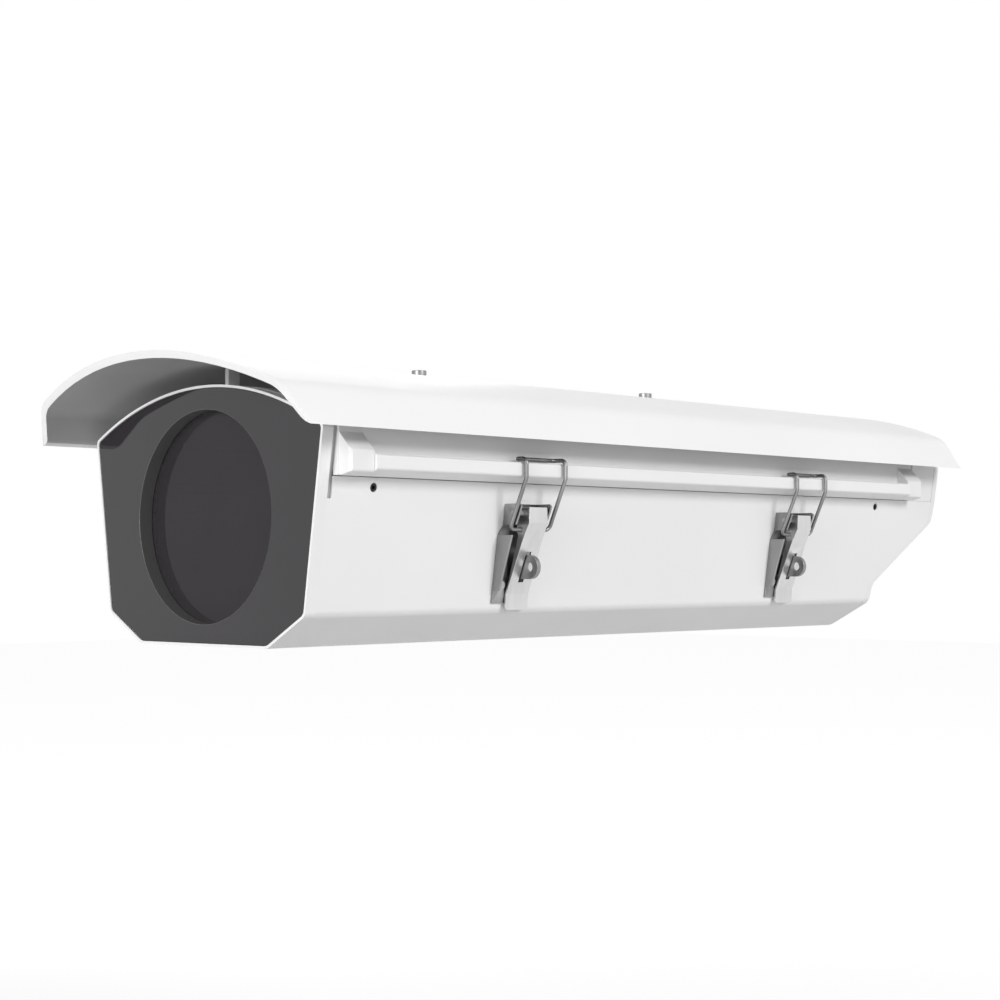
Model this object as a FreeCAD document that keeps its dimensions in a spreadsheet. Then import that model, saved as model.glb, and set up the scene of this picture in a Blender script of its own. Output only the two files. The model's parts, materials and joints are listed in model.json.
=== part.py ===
import FreeCAD, Part
import Sketcher
import math
import os
import re
from FreeCAD import Placement, Rotation, Vector

# Outdoor security camera housing with a hinged lid, a sunshield and two toggle latches.
# +Z is up, the window faces -Y and the latches are on the +X side. The origin is the centre
# of the bracket hole pattern on the flat underside. Sizes are in millimetres.

SIZES = {
    # Lengths of the body along Y
    "front_reach": 200.0,
    "foot_reach": 200.0,
    "heel_lean": 4.0,
    "slope_run": 53.0,
    "tail_lean": 1.5,
    "bezel_play": 0.5,
    # Section of the body
    "floor_half": 42.8,
    "flank_low_half": 66.3,
    "flank_low_height": 13.4,
    "shoulder_half": 77.2,
    "shoulder_height": 89.1,
    "arch_height": 109.2,
    "body_wall": 2.5,
    "heel_height": 23.0,
    "slope_rise": 34.5,
    "heel_round": 8.0,
    "tail_round": 6.0,
    "rear_cap_depth": 4.0,
    "seam_height": 68.9,
    "seal_flange_width": 6.0,
    "seal_flange_depth": 2.0,
    # Front bezel, mask and window
    "rim_depth": 5.6,
    "rim_width": 1.1,
    "bezel_inset": 5.0,
    "bezel_depth": 13.0,
    "mask_pocket_depth": 2.2,
    "mask_set_back": 0.4,
    "mask_play": 0.1,
    "window_radius": 45.0,
    "window_height": 54.0,
    "collar_wall": 1.1,
    "collar_play": 0.1,
    "collar_depth": 7.0,
    "seat_depth": 6.2,
    "seat_lip": 2.4,
    "glass_play": 0.2,
    "glass_seal_depth": 1.0,
    "glass_depth": 3.0,
    "retainer_depth": 2.5,
    "retainer_radius": 44.5,
    "retainer_slot_half": 1.5,
    "retainer_slot_depth": 1.2,
    "retainer_slot_reach": 3.0,
    # Lugs and the screws through the side walls
    "lug_play": 0.1,
    "lug_wall": 4.0,
    "lug_half_height": 4.0,
    "lug_root": 3.0,
    "lug_front_margin": 10.2,
    "lug_rear_margin": 8.0,
    "front_screw_inset": 29.8,
    "rear_screw_inset": 60.5,
    "side_screw_drop": 4.0,
    "side_screw_radius": 1.7,
    "side_screw_shank": 1.2,
    "side_screw_play": 0.2,
    "side_screw_sink": 0.3,
    "side_screw_socket": 1.2,
    "socket_share": 0.55,
    # Lid
    "lid_gap": 2.3,
    "notch_height": 60.0,
    "cap_wall": 3.5,
    "front_cap_depth": 13.1,
    "block_set_back": 0.3,
    "rear_hood_depth": 29.0,
    "lid_rear_depth": 14.5,
    "rear_ring_gap": 1.5,
    "rear_ring_depth": 3.0,
    "rear_ring_width": 5.0,
    "rail_gap": 0.3,
    "rail_height": 8.5,
    "rail_reach": 8.3,
    "rail_bevel": 2.4,
    "rail_drop": 7.0,
    "drip_gap": 0.6,
    "rail_round": 1.2,
    "block_reach": 6.8,
    "block_top": 88.2,
    "block_shoulder": 79.1,
    "block_corner": 1.2,
    "seat_gap": 2.0,
    "seat_wall": 2.5,
    "seal_play": 0.1,
    "seal_inset": 0.7,
    "seal_width": 5.5,
    "end_seal_width": 2.4,
    "end_seal_inset": 1.0,
    # Lid hinges
    "hinge_axis_half": 81.5,
    "hinge_axis_rise": 5.2,
    "hinge_front": 120.0,
    "hinge_rear": 140.0,
    "hinge_half": 15.0,
    "hinge_play": 0.5,
    "knuckle_radius": 4.0,
    "hinge_pin_radius": 2.0,
    "hinge_pin_play": 0.05,
    "hinge_pin_grip": 10.0,
    "hinge_pin_end_play": 0.5,
    "hinge_notch_sink": 0.3,
    "leaf_wall": 2.2,
    "leaf_top": 62.0,
    "leaf_bottom": 40.0,
    "leaf_bend_drop": 2.0,
    "leaf_arm_drop": 1.6,
    "leaf_screw_radius": 3.0,
    "leaf_screw_head": 1.6,
    "leaf_screw_shank": 1.6,
    "leaf_screw_reach": 3.0,
    "leaf_screw_height": 48.0,
    "leaf_screw_spread": 9.0,
    # Sunshield
    "shield_skirt_half": 88.6,
    "shield_skirt_height": 87.2,
    "shield_bend_half": 79.4,
    "shield_bend_height": 101.4,
    "shield_arch_height": 117.6,
    "shield_wall": 3.0,
    "visor_reach": 18.1,
    "shield_rake": 0.493,
    "shield_tail_gap": 1.7,
    "shield_screw_front": 74.5,
    "shield_screw_rear": 91.5,
    "shield_screw_head": 3.5,
    "shield_screw_head_height": 4.0,
    "shield_screw_shank": 2.0,
    "shield_screw_play": 0.2,
    "shield_screw_tail": 1.5,
    "shield_socket_depth": 2.0,
    "shield_tap_play": 0.02,
    "standoff_radius": 6.0,
    "standoff_play": 0.05,
    "standoff_top_play": 0.15,
    "post_half": 1.25,
    "post_depth": 6.5,
    "post_set_back": 4.6,
    # Cable glands
    "gland_spacing": 30.0,
    "gland_thread_radius": 7.8,
    "gland_thread_play": 0.15,
    "gland_hex_radius": 12.0,
    "gland_hex_depth": 5.0,
    "gland_neck_depth": 7.0,
    "gland_cap_radius": 10.5,
    "gland_cap_depth": 9.0,
    "gland_cap_gap": 0.3,
    "gland_flat_radius": 11.55,
    "gland_mouth_play": 0.6,
    "gland_nut_play": 0.1,
    "gland_bore_radius": 5.5,
    "gland_inner_reach": 9.0,
    "gland_nut_radius": 11.5,
    "gland_nut_depth": 4.0,
    "cable_radius": 3.5,
    "gland_seal_depth": 9.0,
    # Bracket plate and holes in the floor
    "bracket_half_x": 25.0,
    "bracket_half_y": 40.0,
    "bracket_hole_radius": 2.5,
    "bracket_plate_half_x": 36.0,
    "bracket_plate_half_y": 52.0,
    "bracket_plate_wall": 4.0,
    # Camera tray and its sliding saddle
    "tray_half_x": 38.0,
    "tray_half_y": 150.0,
    "tray_height": 16.0,
    "tray_wall": 2.0,
    "tray_lip": 7.0,
    "tray_slot_half_x": 3.6,
    "tray_slot_half_y": 100.0,
    "tray_post_radius": 4.0,
    "tray_post_half_x": 30.0,
    "tray_post_half_y": 138.0,
    "tray_screw_radius": 3.2,
    "tray_screw_head": 2.2,
    "tray_screw_shank": 1.5,
    "tray_screw_reach": 6.0,
    "tray_screw_play": 0.1,
    "saddle_half_x": 30.0,
    "saddle_half_y": 22.0,
    "saddle_wall": 3.0,
    "saddle_play": 0.2,
    "camera_stud_radius": 3.1,
    "camera_stud_rise": 5.0,
    "camera_stud_play": 0.05,
    "thumb_radius": 9.0,
    "thumb_depth": 6.0,
    # Toggle latches
    "latch_front": 81.7,
    "latch_rear": 118.3,
    "latch_sheet": 1.0,
    "latch_top": 60.1,
    "latch_step": 46.5,
    "latch_bottom": 17.1,
    "latch_near_half": 11.4,
    "latch_foot_half": 14.2,
    "latch_far_half": 8.4,
    "ear_bottom": 51.0,
    "ear_reach": 9.9,
    "ear_corner": 1.2,
    "ear_toe_x": 79.5,
    "ear_side_x": 82.3,
    "ear_side_height": 57.3,
    "flange_reach_top": 8.7,
    "flange_reach_middle": 6.3,
    "flange_middle": 33.5,
    "flange_reach_end": 4.3,
    "flange_end": 22.5,
    "flange_round": 1.5,
    "lever_pivot_x": 78.0,
    "lever_pivot_height": 56.1,
    "lever_pin_radius": 1.25,
    "lever_pin_play": 0.05,
    "lever_top_half": 5.6,
    "lever_bottom_half": 7.0,
    "lever_widening": 4.0,
    "lever_corner": 2.0,
    "lever_top": 58.6,
    "lever_bend": 51.8,
    "lever_knee": 43.1,
    "lever_heel": 20.8,
    "lever_tip": 14.0,
    "lever_face_x": 82.5,
    "lever_knee_x": 78.3,
    "lever_heel_x": 69.6,
    "lever_tip_x": 69.2,
    "lever_fold": 0.5,
    "lever_cheek_x": 75.3,
    "lever_cheek_top_x": 77.0,
    "lever_hook_x": 74.6,
    "lever_hook_height": 48.9,
    "lever_throat_x": 75.4,
    "lever_throat_height": 46.1,
    "lever_foot_x": 70.0,
    "lever_foot_height": 27.8,
    "bail_pivot_x": 77.0,
    "bail_pivot_height": 48.9,
    "bail_wire_radius": 0.9,
    "bail_leg_half": 12.5,
    "bail_stub_gap": 0.3,
    "bail_knee_x": 87.1,
    "bail_knee_height": 71.1,
    "bail_rail_gap": 0.65,
    "bail_bar_x": 80.5,
    "bail_bend_radius": 2.6,
    "eye_x": 77.5,
    "eye_height": 32.7,
    "eye_radius": 5.2,
    "eye_hole_radius": 2.2,
    "eye_half": 1.1,
    "eye_slot_play": 0.5,
    "eye_slot_end": 1.4,
    "rivet_radius": 2.0,
    "rivet_head": 0.9,
    "rivet_shank": 1.2,
    "rivet_offset": 10.0,
    "rivet_low": 25.0,
    "rivet_high": 42.5,
    "rivet_tail": 1.0,
}

FUNCTIONS = ("sqrt", "atan", "deg")
doc = FreeCAD.newDocument("camera_housing")
sheet = doc.addObject("Spreadsheet::Sheet", "sizes")
nodes = []


def fill_sheet():
    for row, (alias, value) in enumerate(SIZES.items(), start=1):
        sheet.set("A%d" % row, alias)
        sheet.set("B%d" % row, str(value))
        sheet.setAlias("B%d" % row, alias)
    doc.recompute()


def bound(text):
    """The expression with every size name pointed at its cell."""
    def to_cell(match):
        word = match.group(0)
        return word if word in FUNCTIONS else "sizes." + word
    return re.sub(r"[a-z_]+", to_cell, str(text))


def value(text):
    result = sheet.evalExpression(bound(text))
    return float(getattr(result, "Value", result))


def bind(feature, prop, text):
    feature.setExpression(prop, bound(text))


def place(feature, x, y, z):
    for letter, text in (("x", x), ("y", y), ("z", z)):
        bind(feature, "Placement.Base." + letter, text)


def minus(a, b):
    return "(%s) - (%s)" % (a, b)


# Primitives

def box(name, low, high):
    made = doc.addObject("Part::Box", name)
    for prop, a, b in zip(("Length", "Width", "Height"), low, high):
        bind(made, prop, minus(b, a))
    place(made, *low)
    return made


TURNS = {
    "X": Rotation(Vector(0, 1, 0), 90),
    "Y": Rotation(Vector(1, 0, 0), -90),
    "Z": Rotation(),
}


def rod(name, radius, start, length, along):
    """A cylinder from its start point, running along +X, +Y or +Z."""
    made = doc.addObject("Part::Cylinder", name)
    bind(made, "Radius", radius)
    bind(made, "Height", length)
    made.Placement = Placement(Vector(), TURNS[along])
    place(made, *start)
    return made


PLANES = {
    "XZ": (Rotation(Vector(1, 0, 0), 90), Vector(0, 1, 0), 1),
    "YZ": (Rotation(Vector(0, 1, 0), Vector(0, 0, 1), Vector(1, 0, 0), "XYZ"), Vector(1, 0, 0), 0),
    "XY": (Rotation(), Vector(0, 0, 1), 2),
}


def fix_point(sketch, geometry, end, corner):
    for kind, text in (("DistanceX", corner[0]), ("DistanceY", corner[1])):
        made = sketch.addConstraint(Sketcher.Constraint(kind, -1, 1, geometry, end, value(text)))
        sketch.setExpression("Constraints[%d]" % made, bound(text))


def corner_cut(before, at, after, radius):
    """Where a round of this radius starts and ends, with its middle point."""
    a = (before - at).normalize()
    b = (after - at).normalize()
    half = a.getAngle(b) / 2
    reach = radius / math.tan(half)
    middle = (a + b).normalize()
    centre = at + middle * (radius / math.sin(half))
    return at + a * reach, centre - middle * radius, at + b * reach


def outline(name, plane, start, corners):
    """A closed sketch through corners (u, v) or (u, v, round), each an expression."""
    turn, _, letter = PLANES[plane]
    sketch = doc.addObject("Sketcher::SketchObject", name)
    sketch.Placement = Placement(Vector(), turn)
    bind(sketch, "Placement.Base." + "xyz"[letter], start)
    spots = [Vector(value(c[0]), value(c[1]), 0) for c in corners]
    count = len(corners)
    cuts = []
    for i, corner in enumerate(corners):
        if len(corner) == 3:
            cuts.append(corner_cut(spots[i - 1], spots[i], spots[(i + 1) % count], value(corner[2])))
        else:
            cuts.append((spots[i], None, spots[i]))
    for i in range(count):
        sketch.addGeometry(Part.LineSegment(cuts[i][2], cuts[(i + 1) % count][0]), False)
    for i, corner in enumerate(corners):
        before = (i - 1) % count
        if len(corner) == 2:
            sketch.addConstraint(Sketcher.Constraint("Coincident", before, 2, i, 1))
            fix_point(sketch, i, 1, corner)
            continue
        arc = sketch.addGeometry(Part.Arc(*cuts[i]), False)
        turns_left = (spots[i] - spots[before]).cross(spots[(i + 1) % count] - spots[i]).z > 0
        first, last = (1, 2) if turns_left else (2, 1)
        sketch.addConstraint(Sketcher.Constraint("Tangent", before, 2, arc, first))
        sketch.addConstraint(Sketcher.Constraint("Tangent", arc, last, i, 1))
        made = sketch.addConstraint(Sketcher.Constraint("Radius", arc, value(corner[2])))
        sketch.setExpression("Constraints[%d]" % made, bound(corner[2]))
        point = sketch.addGeometry(Part.Point(spots[i]), True)
        fix_point(sketch, point, 1, corner)
        sketch.addConstraint(Sketcher.Constraint("PointOnObject", point, 1, before))
        sketch.addConstraint(Sketcher.Constraint("PointOnObject", point, 1, i))
    return sketch


def extrude(name, base, plane, length):
    made = doc.addObject("Part::Extrusion", name)
    made.Base = base
    made.DirMode = "Custom"
    made.Dir = PLANES[plane][1]
    made.Solid = True
    bind(made, "LengthFwd", length)
    return made


def prism(name, plane, start, end, corners):
    base = outline(name + "_sketch", plane, start, corners)
    return extrude(name, base, plane, minus(end, start))


def arched(name, start, end, corners, top, inset="0"):
    """A symmetrical shape along Y: corners up the +X side, then an arc over (0, top)."""
    sketch = doc.addObject("Sketcher::SketchObject", name + "_sketch")
    sketch.Placement = Placement(Vector(), PLANES["XZ"][0])
    bind(sketch, "Placement.Base.y", start)
    left = [("-(%s)" % u, v) for u, v in corners]
    ring = left[::-1] + corners
    spots = [Vector(value(u), value(v), 0) for u, v in ring]
    count = len(ring)
    for i in range(count - 1):
        sketch.addGeometry(Part.LineSegment(spots[i], spots[i + 1]), False)
    crown = Vector(0, value(top), 0)
    arc = sketch.addGeometry(Part.Arc(spots[-1], crown, spots[0]), False)
    for i in range(count - 2):
        sketch.addConstraint(Sketcher.Constraint("Coincident", i, 2, i + 1, 1))
    sketch.addConstraint(Sketcher.Constraint("Coincident", count - 2, 2, arc, 1))
    sketch.addConstraint(Sketcher.Constraint("Coincident", arc, 2, 0, 1))
    for i in range(count - 1):
        fix_point(sketch, i, 1, ring[i])
    fix_point(sketch, count - 2, 2, ring[-1])
    half, low = corners[-1]
    rise = "(%s)" % minus(top, low)
    radius = "((%s)^2 + %s^2) / (2 * %s)" % (half, rise, rise)
    centre = minus(top, radius)
    made = sketch.addConstraint(Sketcher.Constraint("DistanceY", -1, 1, arc, 3, value(centre)))
    sketch.setExpression("Constraints[%d]" % made, bound(centre))
    base = sketch
    if inset != "0":
        base = doc.addObject("Part::Offset2D", name + "_offset")
        base.Source = sketch
        base.Join = 2
        bind(base, "Value", "-(%s)" % inset)
    return extrude(name, base, "XZ", minus(end, start))


# Combining

def fuse(name, *shapes):
    made = doc.addObject("Part::MultiFuse", name)
    made.Shapes = list(shapes)
    made.Refine = True
    return made


def common(name, *shapes):
    made = doc.addObject("Part::MultiCommon", name)
    made.Shapes = list(shapes)
    made.Refine = True
    return made


def cut(name, base, *tools):
    made = doc.addObject("Part::Cut", name)
    made.Base = base
    made.Tool = tools[0] if len(tools) == 1 else fuse(name + "_tools", *tools)
    made.Refine = True
    return made


def mirrored(name, source):
    made = doc.addObject("Part::Mirroring", name)
    made.Source = source
    made.Base = Vector(0, 0, 0)
    made.Normal = Vector(1, 0, 0)
    return made


def group(name, *shapes):
    made = doc.addObject("Part::Compound", name)
    made.Links = list(shapes)
    return made


def node(label, feature):
    feature.Label = label
    nodes.append(feature)
    return feature


# Shared shapes and places

FRONT = "-front_reach"
RIM_BACK = "rim_depth - front_reach"
BEZEL_BACK = "bezel_depth - front_reach"
LID_FRONT = "rim_depth + lid_gap - front_reach"
CAP_JOINT = LID_FRONT + " + front_cap_depth"
FRONT_SCREW = "front_screw_inset - front_reach"
HEEL = "foot_reach + heel_lean"
TAIL_LOW = "foot_reach + heel_lean + slope_run"
TAIL = "foot_reach + heel_lean + slope_run + tail_lean"
TAIL_HEIGHT = "heel_height + slope_rise"
REAR_SCREW = TAIL + " - rear_screw_inset"
LID_END = TAIL + " - rear_hood_depth"
LID_JOINT = LID_END + " - lid_rear_depth"
RING_FRONT = LID_END + " + rear_ring_gap"
RING_BACK = RING_FRONT + " + rear_ring_depth"
SHIELD_FRONT = "-front_reach - visor_reach"
SHIELD_REAR = TAIL + " - shield_tail_gap"
SCREW_HEIGHT = "seam_height - side_screw_drop"
FLANGE_LOW = "seam_height - seal_flange_depth"
RAIL_LOW = "seam_height + rail_gap"
RAIL_TOP = "seam_height + rail_gap + rail_height"
RAIL_SIDE = "shoulder_half + rail_reach"
RAIL_ROOT = "shoulder_half - body_wall / 2"
SEAT_LOW = "seam_height + seat_gap"
HINGE_Z = "seam_height + hinge_axis_rise"
SHIELD_TOP = "shield_arch_height + shield_wall"
# How far cutting shapes run past the part
PAST = "30"
SKY = "shield_arch_height + " + PAST
WIDE = "shield_skirt_half + " + PAST
# The flank leans outwards by this run over this rise
LEAN_RUN = "(shoulder_half - flank_low_half)"
LEAN_RISE = "(shoulder_height - flank_low_height)"
LEAN_LENGTH = "sqrt(%s^2 + %s^2)" % (LEAN_RUN, LEAN_RISE)
# Sheet thicknesses are laid off along X, so square to the flank they are a little less
LEAF_SEAT = "leaf_wall * %s / %s" % (LEAN_RISE, LEAN_LENGTH)
RIVET_SEAT = "latch_sheet * %s / %s" % (LEAN_RISE, LEAN_LENGTH)
HINGES = (("front", "-hinge_front"), ("rear", "hinge_rear"))
LATCHES = (("front", "-latch_front"), ("rear", "latch_rear"))
RIVETS = ("rivet_low", "rivet_high")
SHIELD_SCREWS = (("front", "-shield_screw_front"), ("rear", "shield_screw_rear"))


def rivet_y(y):
    return minus(y, "rivet_offset")


def wall_x(height):
    """Half the body's outer width at a height on its flank."""
    return "flank_low_half + %s / %s * ((%s) - flank_low_height)" % (LEAN_RUN, LEAN_RISE, height)


SEAT_INNER = wall_x("seam_height") + " - body_wall - seal_flange_width"


def section(name, start, end, inset="0"):
    corners = [("floor_half", "0"), ("flank_low_half", "flank_low_height"),
               ("shoulder_half", "shoulder_height")]
    return arched(name, start, end, corners, "arch_height", inset)


def lid_section(name, start, end, inset="0"):
    corners = [("shoulder_half", "seam_height - " + PAST), ("shoulder_half", "shoulder_height")]
    return arched(name, start, end, corners, "arch_height", inset)


def side_profile(name, back):
    """The body seen from the side, moved towards the front by back."""
    def y(text):
        return minus(text, back)
    corners = [("-front_reach", "-1"), (y("foot_reach"), "-1"), (y("foot_reach"), "0"),
               (y(HEEL), "heel_height", "heel_round"),
               (y(TAIL_LOW), TAIL_HEIGHT, "tail_round"),
               (y(TAIL), TAIL_HEIGHT + " + 12"), (y(TAIL), "arch_height + 1"),
               ("-front_reach", "arch_height + 1")]
    return prism(name, "YZ", "-(%s)" % WIDE, WIDE, corners)


def block(name, low_y, high_y, low_z, high_z):
    """A box right across the body."""
    return box(name, ("-(%s)" % WIDE, low_y, low_z), (WIDE, high_y, high_z))


def off_flank(made, y, z, start, length):
    """Set a bar square to the +X flank at (y, z), from start outwards."""
    made.Placement = Placement(Vector(), Rotation(Vector(0, 1, 0), 90))
    bind(made, "Placement.Rotation.Angle", "90 deg + atan(%s / %s)" % (LEAN_RUN, LEAN_RISE))
    bind(made, "Height", length)
    place(made, "%s + (%s) * %s / %s" % (wall_x(z), start, LEAN_RISE, LEAN_LENGTH), y,
          "(%s) - (%s) * %s / %s" % (z, start, LEAN_RUN, LEAN_LENGTH))
    return made


def flank_rod(name, radius, y, z, start, length):
    made = doc.addObject("Part::Cylinder", name)
    bind(made, "Radius", radius)
    return off_flank(made, y, z, start, length)


def hexagon(name, radius):
    made = doc.addObject("Part::Prism", name)
    made.Polygon = 6
    bind(made, "Circumradius", radius)
    return made


def flank_lugs(name, low_y, high_y):
    """Two plates that lie against the inside of the flanks."""
    outer = section(name + "_outer", low_y, high_y, "body_wall + lug_play")
    inner = section(name + "_inner", low_y, high_y, "body_wall + lug_play + lug_wall")
    band = block(name + "_band", low_y, high_y, SCREW_HEIGHT + " - lug_half_height",
                 FLANGE_LOW + " - lug_play")
    return common(name, cut(name + "_walls", outer, inner), band)


def side_holes(name, y, radius, reach_in):
    """Two bores square to the flanks, running inwards from outside."""
    right = flank_rod(name + "_right", radius, y, SCREW_HEIGHT, "-(%s)" % reach_in, "(%s) + 5" % reach_in)
    return fuse(name, right, mirrored(name + "_left", right))


# The lower body

def make_tub():
    hull = section("tub_hull", RIM_BACK, TAIL)
    hollow = section("tub_hollow", FRONT, TAIL + " + 1", "body_wall")
    channel = common("tub_channel", cut("tub_walls", hull, hollow),
                     side_profile("tub_side", "rear_cap_depth"),
                     block("tub_height", FRONT, TAIL, "-1", "seam_height"))
    flange_start = BEZEL_BACK + " + bezel_play"
    flange_outer = section("tub_flange_outer", flange_start, RING_FRONT, "body_wall / 2")
    flange_band = block("tub_flange_band", flange_start, RING_FRONT, FLANGE_LOW, "seam_height")
    flange_core = box("tub_flange_core", ("-(%s)" % SEAT_INNER, FRONT, "0"),
                      (SEAT_INNER, TAIL, "arch_height"))
    flange = cut("tub_flange", common("tub_flange_bar", flange_outer, flange_band), flange_core)
    holes = [rod("tub_bracket_hole_%d%d" % (i, j), "bracket_hole_radius",
                 ("%d * bracket_half_x" % i, "%d * bracket_half_y" % j, "-1"), "body_wall + 2", "Z")
             for i in (-1, 1) for j in (-1, 1)]
    for spot, y in LATCHES:
        holes += [flank_rod("tub_rivet_hole_%s_%d" % (spot, i), "rivet_shank", rivet_y(y), z,
                            "-body_wall - 1", "body_wall + 2") for i, z in enumerate(RIVETS)]
    for spot, y in HINGES:
        holes += [mirrored("tub_hinge_hole_%s_%d" % (spot, i + 1),
                           flank_rod("tub_hinge_bore_%s_%d" % (spot, i + 1), "leaf_screw_shank",
                                     "(%s) + %d * leaf_screw_spread" % (y, i), "leaf_screw_height",
                                     "-body_wall - 1", "body_wall + 2")) for i in (-1, 1)]
    screw_hole = "side_screw_radius + side_screw_play"
    node("body_tub", cut("tub", fuse("tub_whole", channel, flange),
                         block("tub_front_notch", FRONT, LID_FRONT, "notch_height", SKY),
                         side_holes("tub_front_holes", FRONT_SCREW, screw_hole, "body_wall + 2"),
                         side_holes("tub_rear_holes", REAR_SCREW, screw_hole, "body_wall + 2"), *holes))


def make_hood():
    """The fixed arch behind the lid, with a flange for the lid's end seal."""
    outer = section("hood_outer", RING_FRONT, TAIL)
    inner = section("hood_inner", RING_BACK, TAIL + " + 1", "body_wall")
    mouth = section("hood_mouth", LID_END, RING_BACK + " + 1", "body_wall + rear_ring_width")
    above = common("hood_above", outer, side_profile("hood_side", "rear_cap_depth"),
                   block("hood_height", RING_FRONT, TAIL, "seam_height", SKY))
    node("rear_hood", cut("hood", above, inner, mouth))


def side_screws(name, y):
    seat = "-body_wall - lug_play"
    head = flank_rod(name + "_head", "side_screw_radius", y, SCREW_HEIGHT, seat,
                     "body_wall + lug_play - side_screw_sink")
    socket = off_flank(hexagon(name + "_socket", "side_screw_radius * socket_share"), y, SCREW_HEIGHT,
                       "-side_screw_sink - side_screw_socket", "side_screw_socket + 1")
    shank = flank_rod(name + "_shank", "side_screw_shank", y, SCREW_HEIGHT, seat + " - lug_wall",
                      "lug_wall + body_wall / 2")
    right = cut(name + "_right", fuse(name + "_blank", head, shank), socket)
    node(name, group(name + "_pair", right, mirrored(name + "_left", right)))


def make_bezel():
    rim = section("bezel_rim", FRONT, RIM_BACK)
    core = section("bezel_core", RIM_BACK, BEZEL_BACK, "bezel_inset")
    lugs = flank_lugs("bezel_lugs", BEZEL_BACK + " - lug_root", FRONT_SCREW + " + lug_front_margin")
    pocket = section("bezel_pocket", "-front_reach - 1", FRONT + " + mask_pocket_depth", "rim_width")
    mouth = rod("bezel_mouth", "window_radius + collar_wall + collar_play",
                ("0", "-front_reach - 1", "window_height"), "bezel_depth + 2", "Y")
    seat = rod("bezel_seat", "window_radius + collar_wall + collar_play + seat_lip",
               ("0", FRONT + " + seat_depth", "window_height"), "bezel_depth", "Y")
    threads = side_holes("bezel_threads", FRONT_SCREW, "side_screw_shank",
                         "body_wall + lug_play + lug_wall + 1")
    node("front_bezel", cut("bezel", fuse("bezel_whole", rim, core, lugs), pocket, mouth, seat, threads))
    side_screws("bezel_screws", FRONT_SCREW)


def ring_y(name, outer, inner, start, length):
    """A round ring about the window's axis."""
    base = rod(name + "_outer", outer, ("0", start, "window_height"), length, "Y")
    bore = rod(name + "_bore", inner, ("0", minus(start, "1"), "window_height"), "(%s) + 2" % length, "Y")
    return cut(name, base, bore)


def make_window():
    front = FRONT + " + mask_set_back"
    back = FRONT + " + mask_pocket_depth"
    plate = section("mask_plate", front, back, "rim_width + mask_play")
    collar = rod("mask_collar", "window_radius + collar_wall", ("0", front, "window_height"),
                 "collar_depth - mask_set_back", "Y")
    opening = rod("mask_opening", "window_radius", ("0", "-front_reach - 1", "window_height"),
                  "bezel_depth", "Y")
    node("window_mask", cut("mask", fuse("mask_whole", plate, collar), opening))
    seat = "window_radius + collar_wall + collar_play + seat_lip - glass_play"
    seal_front = FRONT + " + seat_depth"
    glass_front = seal_front + " + glass_seal_depth"
    node("glass_gasket", ring_y("gasket", seat, "window_radius + collar_wall + collar_play + glass_play",
                                seal_front, "glass_seal_depth"))
    node("window_glass", rod("glass", seat, ("0", glass_front, "window_height"), "glass_depth", "Y"))
    ring = ring_y("retainer_ring", seat, "retainer_radius", glass_front + " + glass_depth", "retainer_depth")
    back_face = glass_front + " + glass_depth + retainer_depth"
    slots = [box("retainer_slot_%d" % i,
                 ("-retainer_slot_half", back_face + " - retainer_slot_depth",
                  "window_height + %d * retainer_radius - retainer_slot_reach" % i),
                 ("retainer_slot_half", back_face + " + 1",
                  "window_height + %d * retainer_radius + retainer_slot_reach" % i)) for i in (-1, 1)]
    node("glass_retainer", cut("retainer", ring, *slots))


# The slanted rear with its cable glands

SLOPE_LENGTH = "sqrt(slope_run^2 + slope_rise^2)"


def along_gland(x, distance):
    """A point at a distance outwards from the middle of the slanted face."""
    y = HEEL + " + slope_run / 2 + (%s) * slope_rise / %s" % (distance, SLOPE_LENGTH)
    z = "heel_height + slope_rise / 2 - (%s) * slope_run / %s" % (distance, SLOPE_LENGTH)
    return x, y, z


def tilt(feature, x, distance):
    feature.Placement = Placement(Vector(), Rotation(Vector(1, 0, 0), 180))
    bind(feature, "Placement.Rotation.Angle", "180 deg + atan(slope_rise / slope_run)")
    place(feature, *along_gland(x, distance))
    return feature


def gland_rod(name, radius, x, start, length):
    made = doc.addObject("Part::Cylinder", name)
    bind(made, "Radius", radius)
    bind(made, "Height", length)
    return tilt(made, x, start)


def gland_hex(name, radius, x, start, length):
    made = hexagon(name, radius)
    bind(made, "Height", length)
    return tilt(made, x, start)


def make_gland(side, x):
    name = "gland_" + side
    nut = gland_hex(name + "_hexagon", "gland_hex_radius", x, "0", "gland_hex_depth")
    thread = gland_rod(name + "_thread", "gland_thread_radius", x, "-gland_inner_reach",
                       "gland_inner_reach + gland_hex_depth + gland_neck_depth")
    bore = gland_rod(name + "_bore", "gland_bore_radius", x, "-gland_inner_reach - 1",
                     "gland_inner_reach + gland_hex_depth + gland_neck_depth + 2")
    node("cable_gland_" + side, cut(name + "_body", fuse(name + "_blank", nut, thread), bore))
    start = "gland_hex_depth + gland_cap_gap"
    cap = gland_rod(name + "_cap_blank", "gland_cap_radius", x, start, "gland_cap_depth")
    thread_room = gland_rod(name + "_cap_room", "gland_thread_radius + gland_thread_play", x,
                            minus(start, "1"), "gland_neck_depth + 1")
    mouth = gland_rod(name + "_cap_mouth", "cable_radius + gland_mouth_play", x, start, "gland_cap_depth + 1")
    flats = gland_hex(name + "_cap_flats", "gland_flat_radius", x, minus(start, "1"),
                      "gland_cap_depth + 2")
    node("gland_cap_" + side, cut(name + "_cap", common(name + "_cap_grip", cap, flats), thread_room, mouth))


def gland_ring(name, outer, inner, x, start, length, maker):
    base = maker(name + "_outer", outer, x, start, length)
    bore = gland_rod(name + "_bore", inner, x, minus(start, "1"), "(%s) + 2" % length)
    return cut(name, base, bore)


GLANDS = (("left", "-gland_spacing"), ("middle", "0"), ("right", "gland_spacing"))


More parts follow.
